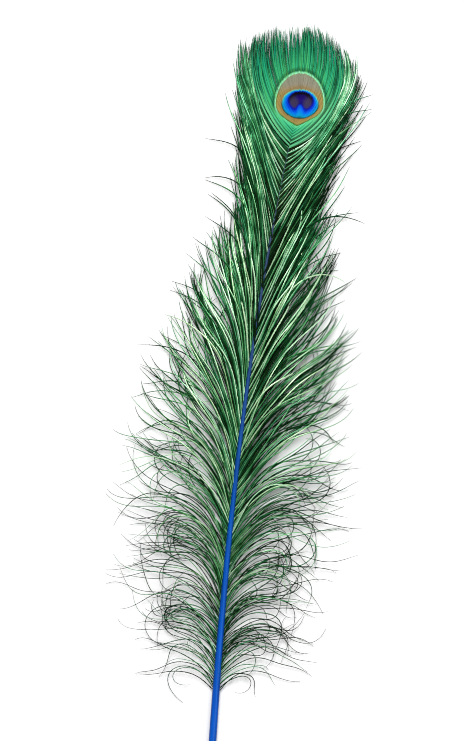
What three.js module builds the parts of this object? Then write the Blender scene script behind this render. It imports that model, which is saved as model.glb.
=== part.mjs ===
// A peacock train feather with a dyed quill, lying face up on a flat surface.
// Millimetres, +Z up. The feather points along +Y, with its eye at the +Y end.
// Four pieces: the shaft, the loose barbs on its left and right, and the closed head that carries the eye.
import * as THREE from "three";

// Driving dimensions. Plan positions are measured from the middle of the eye.
const QUILL_END = new THREE.Vector2(-84, -728);
const QUILL_HANDLE = new THREE.Vector2(-72, -483);
const NECK_HANDLE = new THREE.Vector2(-56, -237);
const SHAFT_TIP = new THREE.Vector2(1.5, 8);
const TIP_LIFT = 5; // how far the shaft's underside rises off the surface at the head
const LIFT_FROM = 0.45; // share of the shaft that lies flat before that rise
const SHAFT_SIDES = 10;
const SHAFT_STEPS = 34;
const STEP_CROWDING = 1.25; // above 1, the steps crowd towards the rounded quill end
// Share of the shaft's length from the quill end, and the radius there.
const SHAFT_TAPER = [
  [0, 1.3],
  [0.012, 2.3],
  [0.05, 2.9],
  [0.14, 3.3],
  [0.28, 3.4],
  [0.6, 2.15],
  [1, 0.5],
];

const LOWEST_BARB = 0.31; // shares of the shaft's length
const EYE_FOOT = 0.938;
const LOCKS_PER_SIDE = 26;
const HEAD_LOCKS = 14;
const LOCK_ROWS = 8;
const SHEET_THICKNESS = 1.1;
const LOCK_RIDGE = 0.9; // how far a lock's middle line stands above its edges
const TIP_WIDTH_SHARE = 0.14;
const TIP_DROOP = 1.3; // above 1, a barb keeps its height near the root and loses it towards the tip
const RAGGED_SHARE = 0.07; // the most that a lock falls short of the barb's full length
const RAGGED_STEP = 2.4; // radians of the wave that sets the lengths, from one lock to the next
// Share of its length up to which a lock is joined to its neighbours.
const JOINED_LOW = 0.13;
const JOINED_HIGH = 0.38;
const JOINED_HEAD = 0.63;
const JOIN_CHANGES_FROM = 0.4; // shares of the shaft's length between which low barbs become high ones
const JOIN_CHANGES_TO = 0.7;
const ROOT_RISE = 0.3; // height of a loose barb's root above the shaft's axis, as a share of the radius
const GAP = 0.3; // clearance between neighbouring pieces
const HEAD_MARGIN = 0.0012; // share of the shaft's length between the top loose barbs and the head
const FLOOR_CLEARANCE = 0.05;
const LEAST_TURN = 1e-4; // radians, below which a barb counts as straight
// How the barbs grow on each side: share of the shaft's length at the root, angles from the shaft at the
// root and the tip in degrees, length along the barb, and the height of its arch. The shaft leans to the
// right, so along the neck the left barbs stand closer to it, and the head is fuller on its left.
const LEFT_LAW = [
  [0.31, 36, 112, 80, 5],
  [0.45, 27, 90, 120, 9],
  [0.58, 19, 44, 144, 11],
  [0.7, 11, 15, 137, 11],
  [0.8, 14, 22, 135, 9],
  [0.87, 29, 23, 122, 7],
  [0.91, 44, 14, 113, 5.5],
  [0.94, 55, -2, 105, 4],
  [0.97, 41, 0, 85, 3],
  [1, 0, 0, 58, 2],
];
const RIGHT_LAW = [
  [0.31, 36, 112, 80, 5],
  [0.45, 28, 92, 120, 9],
  [0.58, 24, 46, 144, 11],
  [0.7, 18, 17, 139, 11],
  [0.8, 17, 22, 140, 9],
  [0.87, 29, 15, 131, 7],
  [0.91, 45, -5, 119, 5.5],
  [0.94, 60, -25, 108, 4],
  [0.97, 35, -17, 87, 3],
  [1, 0, 0, 58, 2],
];
const HEAD_AXIS_TILT = 3; // degrees from +Y towards +X, where the shaft's own end leans further
const HEAD_AXIS_FROM = 0.9; // share of the shaft where the barbs begin to follow the head's axis

const DYED_BLUE = new THREE.MeshStandardMaterial({ color: 0x0a55d8, roughness: 0.45, metalness: 0 });
const BARB_GREEN = new THREE.MeshStandardMaterial({ color: 0x1f7a48, roughness: 0.4, metalness: 0.35 });
const EYE_BRONZE = new THREE.MeshStandardMaterial({ color: 0x9c7a45, roughness: 0.4, metalness: 0.35 });

const radians = THREE.MathUtils.degToRad;
const smoothstep = THREE.MathUtils.smoothstep;
const lerp = THREE.MathUtils.lerp;

// A smooth curve through rows of [position, value, value, ...], read at one position.
function readLaw(rows, position, column = 1) {
  const last = rows.length - 1;
  const at = THREE.MathUtils.clamp(position, rows[0][0], rows[last][0]);
  const i = Math.min(Math.max(rows.findIndex((row) => row[0] >= at) - 1, 0), last - 1);
  const slope = (k) => {
    const before = rows[Math.max(k - 1, 0)];
    const after = rows[Math.min(k + 1, last)];
    return (after[column] - before[column]) / (after[0] - before[0]);
  };
  const span = rows[i + 1][0] - rows[i][0];
  const u = (at - rows[i][0]) / span;
  const from = rows[i][column];
  const to = rows[i + 1][column];
  const rise = u * u * (3 - 2 * u);
  const bends = slope(i) * u * (1 - u) * (1 - u) - slope(i + 1) * u * u * (1 - u);
  return from + (to - from) * rise + span * bends;
}

const shaftLine = new THREE.CubicBezierCurve(QUILL_END, QUILL_HANDLE, NECK_HANDLE, SHAFT_TIP);
const shaftRadius = (share) => readLaw(SHAFT_TAPER, share);
const undersideHeight = (share) => TIP_LIFT * smoothstep(share, LIFT_FROM, 1);
const flatSide = Math.cos(Math.PI / SHAFT_SIDES); // a facet's distance from the axis over the radius
const axisHeight = (share) => undersideHeight(share) + shaftRadius(share) * flatSide;

// The shaft's direction in plan, as an angle from +Y towards +X.
function shaftLean(share) {
  const along = shaftLine.getTangent(share);
  return Math.atan2(along.x, along.y);
}

// A lathe of the taper, bent along the shaft's line with one facet down.
function makeShaft() {
  const profile = [new THREE.Vector2(0, 0)];
  for (let i = 0; i <= SHAFT_STEPS; i++) {
    const share = (i / SHAFT_STEPS) ** STEP_CROWDING;
    profile.push(new THREE.Vector2(shaftRadius(share), share));
  }
  profile.push(new THREE.Vector2(0, 1));
  const geometry = new THREE.LatheGeometry(profile, SHAFT_SIDES, Math.PI / SHAFT_SIDES);
  const points = geometry.getAttribute("position");
  for (let i = 0; i < points.count; i++) {
    const share = points.getY(i);
    const centre = shaftLine.getPoint(share);
    const lean = shaftLean(share);
    const across = points.getX(i);
    const height = axisHeight(share) + points.getZ(i);
    points.setXYZ(i, centre.x + across * Math.cos(lean), centre.y - across * Math.sin(lean), height);
  }
  geometry.computeVertexNormals();
  return new THREE.Mesh(geometry, DYED_BLUE);
}

// A point on the vane. side is -1 on the left and 1 on the right, share is the place of the barb's root
// on the shaft, and t runs from that root to the barb's tip.
function vanePoint(side, share, t, root) {
  const lean = lerp(shaftLean(share), radians(HEAD_AXIS_TILT), smoothstep(share, HEAD_AXIS_FROM, 1));
  const law = side < 0 ? LEFT_LAW : RIGHT_LAW;
  const rootAngle = radians(readLaw(law, share, 1));
  const tipAngle = radians(readLaw(law, share, 2));
  const length = readLaw(law, share, 3);
  const arch = readLaw(law, share, 4);
  // The barb is a circular arc in plan, so its direction turns evenly from root to tip.
  const turn = Math.abs(tipAngle - rootAngle) < LEAST_TURN ? LEAST_TURN : tipAngle - rootAngle;
  const here = rootAngle + turn * t;
  const forward = (length * (Math.sin(here) - Math.sin(rootAngle))) / turn;
  const outward = root.offset + (length * (Math.cos(rootAngle) - Math.cos(here))) / turn;
  const start = shaftLine.getPoint(share);
  const tipHeight = SHEET_THICKNESS / 2 + FLOOR_CLEARANCE;
  return new THREE.Vector3(
    start.x + forward * Math.sin(lean) + side * outward * Math.cos(lean),
    start.y + forward * Math.cos(lean) - side * outward * Math.sin(lean),
    lerp(root.height, tipHeight, t ** TIP_DROOP) + arch * Math.sin(Math.PI * t),
  );
}

// Turns a sheet of triangles into a closed solid of even thickness, with a wall along every open edge.
function thicken(points, triangles, material) {
  const count = points.length;
  const half = new THREE.Vector3(0, 0, SHEET_THICKNESS / 2);
  const above = points.map((p) => p.clone().add(half));
  const below = points.map((p) => p.clone().sub(half));
  const faces = [];
  const open = new Map();
  for (const [a, b, c] of triangles) {
    faces.push(a, b, c, count + a, count + c, count + b);
    for (const [from, to] of [[a, b], [b, c], [c, a]]) {
      if (!open.delete(`${to} ${from}`)) open.set(`${from} ${to}`, [from, to]);
    }
  }
  for (const [from, to] of open.values()) {
    faces.push(from, count + from, count + to, from, count + to, to);
  }
  const geometry = new THREE.BufferGeometry().setFromPoints([...above, ...below]);
  geometry.setIndex(faces);
  geometry.computeVertexNormals();
  return new THREE.Mesh(geometry, material);
}

// Uneven but repeatable lock lengths, as a share of the barb's full length.
const raggedTip = (lock) => 1 - RAGGED_SHARE * Math.abs(Math.sin(RAGGED_STEP * lock));

// A comb of locks side by side. position runs across the comb, and surface(position, t) gives a point of
// the sheet. Locks share their edges up to the row where they part, then narrow to their tips.
function makeComb({ from, to, count, surface, partAt, material, rootKey }) {
  const points = [];
  const triangles = [];
  const shared = new Map();
  const half = (to - from) / count / 2;
  const vertex = (lock, column, row) => {
    const middle = from + half * (2 * lock + 1);
    const t = (row / LOCK_ROWS) * raggedTip(lock);
    const parts = partAt(middle);
    const width = lerp(1, TIP_WIDTH_SHARE, smoothstep(row / LOCK_ROWS, parts, 1));
    const joined = row / LOCK_ROWS <= parts;
    const position = middle + column * half * (joined ? 1 : width);
    const boundary = 2 * lock + 1 + column;
    let key = `${joined ? boundary : `${lock}:${column}`} ${row}`;
    if (row === 0 && rootKey) key = rootKey(boundary);
    if (!shared.has(key)) {
      const point = surface(position, t);
      if (column === 0 && row > 0) point.z += LOCK_RIDGE * Math.sin((Math.PI * row) / LOCK_ROWS);
      shared.set(key, points.push(point) - 1);
    }
    return shared.get(key);
  };
  for (let lock = 0; lock < count; lock++) {
    for (let row = 0; row < LOCK_ROWS; row++) {
      for (const column of [-1, 0]) {
        const a = vertex(lock, column, row);
        const b = vertex(lock, column, row + 1);
        const c = vertex(lock, column + 1, row + 1);
        const d = vertex(lock, column + 1, row);
        for (const face of [[a, c, b], [a, d, c]]) {
          if (new Set(face).size === 3) triangles.push(face);
        }
      }
    }
  }
  return thicken(points, triangles, material);
}

// The loose barbs on one side of the shaft. They hardly join at the sparse lower end.
function makeLooseBarbs(side) {
  // The comb runs up the shaft on the left and down it on the right, which keeps its upper face up.
  const shareAt = (position) => (side < 0 ? position : LOWEST_BARB + EYE_FOOT - position);
  return makeComb({
    from: side < 0 ? LOWEST_BARB : LOWEST_BARB + HEAD_MARGIN,
    to: side < 0 ? EYE_FOOT - HEAD_MARGIN : EYE_FOOT,
    count: LOCKS_PER_SIDE,
    surface: (position, t) => {
      const share = shareAt(position);
      const radius = shaftRadius(share);
      const height = axisHeight(share) + radius * ROOT_RISE;
      return vanePoint(side, share, t, { offset: radius + GAP, height });
    },
    partAt: (position) => {
      const change = smoothstep(shareAt(position), JOIN_CHANGES_FROM, JOIN_CHANGES_TO);
      return lerp(JOINED_LOW, JOINED_HIGH, change);
    },
    material: BARB_GREEN,
  });
}

// The closed head: barbs of both sides meet over the shaft's end, and part into a fringe past the eye.
function makeHead() {
  return makeComb({
    from: -1,
    to: 1,
    count: HEAD_LOCKS,
    surface: (position, t) => {
      const share = lerp(1, EYE_FOOT, Math.abs(position));
      const height = undersideHeight(share) + 2 * shaftRadius(share) + GAP + SHEET_THICKNESS / 2;
      return vanePoint(position < 0 ? -1 : 1, share, t, { offset: 0, height });
    },
    partAt: () => JOINED_HEAD,
    // Both sides have their roots on the shaft's middle line, so each pair of roots is one point.
    rootKey: (boundary) => `root ${Math.abs(boundary - HEAD_LOCKS)}`,
    material: EYE_BRONZE,
  });
}

const pieces = {
  shaft: makeShaft(),
  left_barbs: makeLooseBarbs(-1),
  right_barbs: makeLooseBarbs(1),
  eye: makeHead(),
};
const feather = new THREE.Group();
for (const [name, mesh] of Object.entries(pieces)) {
  mesh.name = name;
  feather.add(mesh);
}

// The origin is on the surface, under the middle of the feather's box.
const box = new THREE.Box3().setFromObject(feather);
const middle = box.getCenter(new THREE.Vector3());
feather.position.set(-middle.x, -middle.y, 0);

const part = new THREE.Group();
part.add(feather);

export default part;
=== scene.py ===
"""A peacock train feather with a dyed quill, lying face up on a pale floor and seen from above.

Lengths are millimetres, measured in plan from the middle of the eye, until a mesh is made in metres.
A share is a place on the shaft, from 0 at the quill's end to 1 at the shaft's tip.
"""
import math
from collections import namedtuple

import bpy
import numpy as np
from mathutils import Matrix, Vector


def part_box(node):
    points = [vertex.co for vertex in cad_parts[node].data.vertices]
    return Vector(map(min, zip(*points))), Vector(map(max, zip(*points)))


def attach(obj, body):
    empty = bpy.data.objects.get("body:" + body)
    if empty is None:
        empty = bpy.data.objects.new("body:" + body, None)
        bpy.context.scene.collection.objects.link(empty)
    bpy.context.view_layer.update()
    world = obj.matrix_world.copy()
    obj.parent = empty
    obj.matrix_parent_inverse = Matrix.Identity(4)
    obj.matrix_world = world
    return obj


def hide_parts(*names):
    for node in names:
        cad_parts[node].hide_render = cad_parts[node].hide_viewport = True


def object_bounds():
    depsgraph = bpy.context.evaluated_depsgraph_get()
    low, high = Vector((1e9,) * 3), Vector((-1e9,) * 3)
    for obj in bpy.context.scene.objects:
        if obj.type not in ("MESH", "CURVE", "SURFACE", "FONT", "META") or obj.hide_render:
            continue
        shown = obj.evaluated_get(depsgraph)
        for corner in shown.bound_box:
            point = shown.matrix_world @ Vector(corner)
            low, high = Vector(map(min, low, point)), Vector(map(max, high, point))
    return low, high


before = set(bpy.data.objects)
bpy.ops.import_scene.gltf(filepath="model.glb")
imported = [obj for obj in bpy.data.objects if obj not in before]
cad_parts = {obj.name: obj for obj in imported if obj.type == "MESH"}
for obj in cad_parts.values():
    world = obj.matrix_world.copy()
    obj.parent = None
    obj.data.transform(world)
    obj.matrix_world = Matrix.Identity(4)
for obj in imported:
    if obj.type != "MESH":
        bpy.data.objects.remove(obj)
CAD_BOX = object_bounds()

MM = 0.001
LEFT, RIGHT = -1, 1
LOOSE_SEED = 4127
HEAD_SEED = 4137

# The picture: its size in pixels, the size of a pixel on the feather, and the pixel of the eye's middle
PICTURE = (464, 741)
PIXEL = 0.85
EYE_PIXEL = (299, 104)
CAMERA_DISTANCE = 2600
SENSOR = 36

# The floor and the light, in metres and watts
FLOOR_REACH = 4
FLOOR_DROP = 0.0003
SKY_STRENGTH = 0.4
KEY_LIGHT = {"place": (-0.15, 0.8, 1.6), "target": (0, 0.1, 0), "size": 0.9, "power": 25}
FILL_LIGHT = {"place": (0.6, -0.6, 1.5), "target": (0, 0, 0), "size": 1.2, "power": 7}

# The shaft's line in plan, its taper and its rise, as in the solid
SHAFT_LINE = np.array([(-84, -728), (-72, -483), (-56, -237), (1.5, 8)], float)
SHAFT_TAPER = [(0, 1.3), (0.012, 2.3), (0.05, 2.9), (0.14, 3.3), (0.28, 3.4), (0.6, 2.15), (1, 0.5)]
TIP_LIFT = 5
LIFT_FROM = 0.45
SOLID_SIDES = 10
# Distance of the solid's flat sides from its axis, over the radius
FLAT_SIDE = math.cos(math.pi / SOLID_SIDES)

# The quill's mesh
QUILL_RINGS = 360
RING_POINTS = 28
RING_CROWDING = 1.2  # above 1, so that the rings stand closer at the quill's end
SQUARENESS = 2.3  # 2 is a circle, and more is nearer to a square
QUILL_WIDTH = 0.96  # over the solid's
QUILL_HEIGHT = 0.97
GROOVE_DEPTH = 0.16  # of the groove along the underside, over the radius
GROOVE_WIDTH = 0.28
SWELL = 0.012  # of the slight swellings along the quill, over the radius
SWELL_RATE = 190
QUILL_END = 0.004  # share of the point that closes the quill's end
QUILL_CLEARANCE = 0.02  # over the floor

# How the barbs grow on each side, as in the solid: share of the shaft at the root, angle from the shaft
# at the root and at the tip in degrees, length, and height of the arch
GROWTH = {
    LEFT: [
        (0.31, 36, 112, 80, 5),
        (0.45, 27, 90, 120, 9),
        (0.58, 19, 44, 144, 11),
        (0.7, 11, 15, 137, 11),
        (0.8, 14, 22, 135, 9),
        (0.87, 29, 23, 122, 7),
        (0.91, 44, 14, 113, 5.5),
        (0.94, 55, -2, 105, 4),
        (0.97, 41, 0, 85, 3),
        (1, 0, 0, 58, 2),
    ],
    RIGHT: [
        (0.31, 36, 112, 80, 5),
        (0.45, 28, 92, 120, 9),
        (0.58, 24, 46, 144, 11),
        (0.7, 18, 17, 139, 11),
        (0.8, 17, 22, 140, 9),
        (0.87, 29, 15, 131, 7),
        (0.91, 45, -5, 119, 5.5),
        (0.94, 60, -25, 108, 4),
        (0.97, 35, -17, 87, 3),
        (1, 0, 0, 58, 2),
    ],
}
ROOT_ANGLE, TIP_ANGLE, LENGTH, ARCH = 1, 2, 3, 4  # columns of those rows
LOWEST_BARB = 0.31
EYE_FOOT = 0.938  # where the loose barbs end and the closed head begins
HEAD_AXIS_TILT = math.radians(3)
HEAD_AXIS_FROM = 0.9
TIP_HEIGHT = 0.6
TIP_DROOP = 1.3
REACH_LIMIT = CAD_BOX[1][0] / MM + 11  # how far a stray barb may reach to the side

# Each barb's mesh: a stem with a row of barbules on both sides
LOOSE_PER_SIDE = 540
HEAD_PER_SIDE = 165
LOOSE_STATIONS = 200
HEAD_STATIONS = 170
BARBULE_FOOT = 3  # stations that a barbule's foot spans
BARBULE_NOISE = 0.14
LOOSE_SWEEP = math.radians(38)  # how far the barbules lean towards the barb's tip
HEAD_SWEEP = math.radians(40)
DROOP_NOISE = 0.12
STEM_EVERY = 7  # stations between two rings of the stem
STEM_CREST = 0.9  # height of the stem over its half width
STEM_DEPTH = 0.4
BARB_CLEARANCE = 0.05  # over the floor
# Where the corners of a barbule and the points of a stem's ring lie across a barb's strip on the chart
LEFT_BAND = (0.4, 0.4, 0.05)
RIGHT_BAND = (0.6, 0.95, 0.6)
STEM_BAND = (0.44, 0.5, 0.56)
CHART_MARGIN = 0.002

# Stretches of the shaft, as shares, over which the loose barbs change
WISP_ZONE = (0.36, 0.64)
CALM_ZONE = (0.36, 0.84)
SPACING_ZONE = (0.5, 0.82)
GATHER_ZONE = (0.55, 0.8)
FADE_ZONE = (0.66, 0.84)
NECK_FROM = 0.7
NECK_ZONE = (0.7, 0.8)
SLIM_ZONE = (0.7, 0.82)
HUE_ZONE = (0.74, 0.9)
BESIDE_ZONE = (0.8, 0.9)
EVEN_ZONE = (0.81, 0.88)
ON_TOP_ZONE = (0.82, 0.88)
HEAD_ZONE = (0.84, 0.9)
HEAD_HUE_ZONE = (0.85, 0.91)
FLANK_ZONE = (0.86, EYE_FOOT)

# Stretches of a barb, from 0 at its root to 1 at its tip
LOOSE_START = (-0.05, 0.03)  # where the barbules come to their full length
HEAD_START = (-0.01, 0.04)
FADE_ALONG = (0.2, 0.6)
OUTER_HALF = (0.3, 0.65)
WISP_OUTER = (0.35, 0.85)
HOOK_FROM = 0.45
FAN_FROM = 0.5
PART_FROM = 0.55
TIP_FROM = 0.85
HEAD_ROLL_ALONG = (0.3, 0.9)
HEAD_TILT_ALONG = (0.35, 0.8)

# How the loose barbs vary. A spread is normal noise: its size within a clump, and its size for each barb.
ROOT_CROWDING = 0.8  # below 1, so that the roots stand closer towards the head
ROOT_JITTER = 0.3
LOOSE_CLUMP = (2, 6)  # least and most barbs in a clump
CALMEST = 0.16  # how wild the barbs next to the head still are
WILD_ROOT_SPREAD = (2, 4)
ROOT_SPREAD = (0.3, 1)
WISP_ROOTS = 1.4
WILD_TIP_SPREAD = (9, 14)
TIP_SPREAD = (1.2, 2.5)
LENGTH_SPREAD = (0.05, 0.05)
SHORT_PART = 0.1
SHORT_LENGTH = (0.5, 0.85)
WISP_LENGTH = (-0.35, 0.2)
STRAY_PART = 0.03
WILD_STRAY_PART = 0.11
STRAY_TURN = 36
CALM_STRAY = 0.3
STRAY_AT_ROOT = 0.4
DROOP = 62
DROOP_START = 0.33
WILD_HOOKS = 0.45  # part of the wild barbs that end in a hook
WISP_HOOKS = 0.25
HOOK_TURN = 90
WISP_HOOK_TURN = 110
# Waves along a barb: degrees for all, more for the wild ones and for the wisps, and the range of turns
SLOW_WAVE = (1.5, 10, 8)
SLOW_TURNS = (0.5, 1.1)
QUICK_WAVE = (1.2, 9, 4)
QUICK_TURNS = (1.3, 2.6)
# Where a barb begins, over the shaft's radius: across it, low down and next to the head, and up from its axis
ROOT_REACH = (0.8, 0.2)
LEAD_CLIMB = 0.5
DEEP_CLIMB = 0.05
OVER_PART = 0.06  # part of the neck's barbs that begin on the shaft's far side
OVER_REACH = (0.2, 0.9)
OVER_CLIMB = 1.15
LEAD_ARCH = 1.05  # over the law's arch
DEEP_ARCH = 0.75
ARCH_RANGE = (0.85, 1.15)
LOOSE_TIP_RISE = 3.5
CUT_BACK = 1.2  # how much a barb is shortened, over what it reaches too far
LEAST_CUT = 0.3
# How strongly a clump is drawn together, and how far its tips part again, for calm barbs and for wisps
GATHER = (0.3, 0.85)
GATHER_EASE = 1.2
NECK_GATHER = 0.35
PARTING = (0.4, 0.9)
# Half the width of a barb with its barbules, for the lowest barbs and for the upper ones
BREADTH = (0.86, 1)
BREADTH_RANGE = (0.9, 1.1)
WISP_SLIMMER = 0.22
LEAD_BREADTH = (0.9, 0.68)
HEAD_LEAD_BREADTH = 0.27
TAPER = (0.25, 0.45)  # of calm barbs and of wisps
POINTED = 0.8
LOOSE_STEM = (0.19, 0.12)  # half the width of a stem, at its root and at its tip
LOOSE_TILT = -0.6  # how steeply the barbules hang
ROLL = 20
TWIST = 40
TWIST_TURNS = (0.3, 1.4)

# The bright barbs that lie on top of the others, painted pale as highlights: barbs from one to the next, low
# down and in the neck
LEAD_SPACING = (3.5, 8)
LEAD_CLOSER = 1.5  # how much closer they are next to the head
LEAD_JITTER = (0.6, 1.4)
CROWDED = 0.4  # sine of the root's angle below which barbs are crowded
MOST_CROWDING = 1.5

# How pale the loose barbs are, from 0 to 1, for the lowest ones and next to the head
# The bright barbs' paleness is a painted highlight, and the darkness of the others below them is painted
# shade
LEAD_HIGHLIGHT_TONE = (0.62, 0.8)
DEEP_SHADE_TONE = (0.38, 0.23)
STRAY_TONE = 0.58
TONE_SPREAD = (0.06, 0.12)
# Painted shade on the right side of the neck, and painted light on the left, as the light falls from the left
NECK_SIDE_SHADE = {LEFT: -0.04, RIGHT: 0.08}
# Next to the head: how much paler a barb is beside a bright one, and along the head's flank how far
# the barbs come to one green
# The glow is larger on the left, as painted light, and smaller on the right, as painted shade
BESIDE_GLOW = {LEFT: 0.34, RIGHT: 0.12}
NEAR_GLOW = 0.08
EVEN_FLANK = {LEFT: 0.7, RIGHT: 0}
FLANK_TONE = 0.58
FLANK_GLOW = 0.28
LEAD_FADE = (0.08, 0.5)
FLANK_LEAD_GLOW = 0.1
OUTER_PALE = 0.2  # how much paler the outer half of a barb is
TIP_DARK = 0.17  # how much darker its tip is, and the outer part of a wisp
WISP_DARK = 0.18
# Hues run from 0, teal, to 1, olive
HUE = (0.62, 0.5)
HUE_SPREAD = (0.16, 0.2)
LEAD_HUE = 0.04
DEEP_HUE = -0.34
HEAD_LEAD_HUE = 0.36

# The head's barbs
HEAD_CLUMP = (2, 5)
HEAD_ROOT_SPREAD = (0.2, 0.3)
HEAD_TIP_SPREAD = (1, 1)
HEAD_LENGTH_SPREAD = (0.03, 0.09)
HEAD_FAN_SPREAD = (2, 3.5)
HEAD_WAVE = math.radians(5)
HEAD_WAVE_TURNS = (0.6, 1.6)
HEAD_ROOT_HEIGHT = 2.1  # over the shaft's radius
HEAD_ARCH = 1  # over the law's arch
HEAD_ARCH_SPREAD = 0.3
HEAD_TIP_HEIGHT = TIP_HEIGHT + 0.6
HEAD_TIP_RISE = 2.5
HEAD_GATHER = (0.15, 0.55)
HEAD_PARTING = 0.4
HEAD_BREADTH = (0.7, 0.9)
HEAD_TAPER = 0.5
HEAD_POINTED = 0.75
HEAD_STEM = (0.13, 0.05)
HEAD_TILT = (-0.12, -0.5)
HEAD_ROLL = 12
FOOT_ZONE = (0.74, 0.93)  # of the head's barbs, counted from its tip to its foot
FOOT_FADE = 0.85
STRIPES = (8, 13)  # barbs in a stripe of the fringe, and at the head's foot
STRIPE_JITTER = (0.6, 1.5)
STRIPE_SHADE = (0.36, 0.46)
STRIPE_TONE = 0.5
HEAD_TONE_SPREAD = 0.08

# The eye's marking, around its own middle: middle and half sizes of its ovals
PUPIL = (1.3, 2.5, 10.7, 8.5)
BLUE_RING = (0.8, -0.2, 15.6, 12.1)
LOBES = ((-4.8, 0.2, 4.4, 5.6), (7.4, 0.1, 4.2, 5.6))
MARK_DROP = 0.6  # how far the marking lies below the plan's origin
MARK_SHIFT = 0.16  # how far it is shifted from barb to barb
NOTCH_MIDDLE = 0.9
NOTCH_WIDTH = 2.5
NOTCH_FROM = 4
NOTCH_TO = -3
NOTCH_STRENGTH = 1.1
DOME_MIDDLE = 0.4
DOME_WIDTH = 20
DOME_TOP = 25.8
DOME_BOTTOM = 20.5
POINT_MIDDLE = -0.8
POINT_REACH = 16.6
POINT_ACROSS = 0.5
POINT_DOWN = 0.866
POINT_SHARPNESS = 9
RING_EASE = 1.4
# Heights in the marking over which its upper colours, the bronze's silver top and the pale ring set in
UPPER = (-3, 6)
CROWN = (6, 17)
RINGED = (-13, -2)
RINGS_IN_RAMP = 8  # the marking's value, over this, is a place on a colour ramp


def smoothstep(low, high, value):
    """From 0 at low to 1 at high, with soft ends. It falls where low is over high."""
    u = np.clip((value - low) / (high - low), 0, 1)
    return u * u * (3 - 2 * u)


def lerp(a, b, t):
    """From a, where t is 0, to b, where t is 1."""
    return a + (b - a) * t


def read_law(rows, position, column=1):
    """A smooth curve through rows of (position, value, ...), read at an array of positions."""
    table = np.array(rows, float)
    at, value = table[:, 0], table[:, column]
    slope = np.empty(len(at))
    slope[1:-1] = (value[2:] - value[:-2]) / (at[2:] - at[:-2])
    slope[0] = (value[1] - value[0]) / (at[1] - at[0])
    slope[-1] = (value[-1] - value[-2]) / (at[-1] - at[-2])
    place = np.clip(position, at[0], at[-1])
    i = np.clip(np.searchsorted(at, place) - 1, 0, len(at) - 2)
    span = at[i + 1] - at[i]
    u = (place - at[i]) / span
    bends = slope[i] * u * (1 - u) ** 2 - slope[i + 1] * u * u * (1 - u)
    return value[i] + (value[i + 1] - value[i]) * u * u * (3 - 2 * u) + span * bends


# The shaft's line


def shaft_point(share):
    """The middle of the shaft in plan."""
    s = np.asarray(share, float)[..., None]
    a, b, c, d = SHAFT_LINE
    return (1 - s) ** 3 * a + 3 * (1 - s) ** 2 * s * b + 3 * (1 - s) * s * s * c + s ** 3 * d


def shaft_lean(share):
    """The shaft's direction in plan, as an angle from +Y towards +X."""
    s = np.asarray(share, float)[..., None]
    a, b, c, d = SHAFT_LINE
    along = (1 - s) ** 2 * (b - a) + 2 * (1 - s) * s * (c - b) + s * s * (d - c)
    return np.arctan2(along[..., 0], along[..., 1])


def shaft_radius(share):
    return read_law(SHAFT_TAPER, share)


def underside(share):
    """Height of the shaft's underside, which rises towards the tip."""
    return TIP_LIFT * smoothstep(LIFT_FROM, 1, share)


def axis_height(share):
    return underside(share) + shaft_radius(share) * FLAT_SIDE


def frame_offset():
    """From the plan's origin, the middle of the eye, to the frame's, by where the shaft's solid lies."""
    share = np.linspace(0, 1, 800)
    point, lean = shaft_point(share), shaft_lean(share)
    reach = shaft_radius(share)[:, None] * np.stack([np.cos(lean), np.sin(lean)], 1)
    low, high = (point - reach).min(0), (point + reach).max(0)
    solid_low, solid_high = (np.array(corner)[:2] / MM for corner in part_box("shaft"))
    return (solid_low + solid_high) / 2 - (low + high) / 2


OFFSET = np.append(frame_offset(), 0)


# Meshes from arrays

# Points in millimetres of the plan, triangles of point numbers, a place on the chart for each corner
# of each triangle, and named values for each point
Shape = namedtuple("Shape", "points triangles chart fields")


def make_piece(name, shape, material, node):
    """One piece that rides on the root."""
    mesh = bpy.data.meshes.new(name)
    mesh.vertices.add(len(shape.points))
    mesh.vertices.foreach_set("co", ((shape.points + OFFSET) * MM).astype(np.float32).ravel())
    mesh.loops.add(shape.triangles.size)
    mesh.loops.foreach_set("vertex_index", shape.triangles.astype(np.int32).ravel())
    mesh.polygons.add(len(shape.triangles))
    mesh.polygons.foreach_set("loop_start", np.arange(0, shape.triangles.size, 3, dtype=np.int32))
    mesh.polygons.foreach_set("use_smooth", np.ones(len(shape.triangles), bool))
    chart = mesh.uv_layers.new(name="OFBake")
    chart.uv.foreach_set("vector", shape.chart.astype(np.float32).ravel())
    for field, values in shape.fields.items():
        attribute = mesh.attributes.new(field, "FLOAT", "POINT")
        attribute.data.foreach_set("value", values.astype(np.float32))
    mesh.update(calc_edges=True)
    mesh.validate()
    mesh.materials.append(material)
    piece = bpy.data.objects.new(name, mesh)
    bpy.context.scene.collection.objects.link(piece)
    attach(piece, "root")
    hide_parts(node)


def per_point(shape, values):
    """One value for each barb of a shape, repeated for all the points of that barb."""
    return np.repeat(values, len(shape.points) // len(values))


# Rows of barbs


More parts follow.
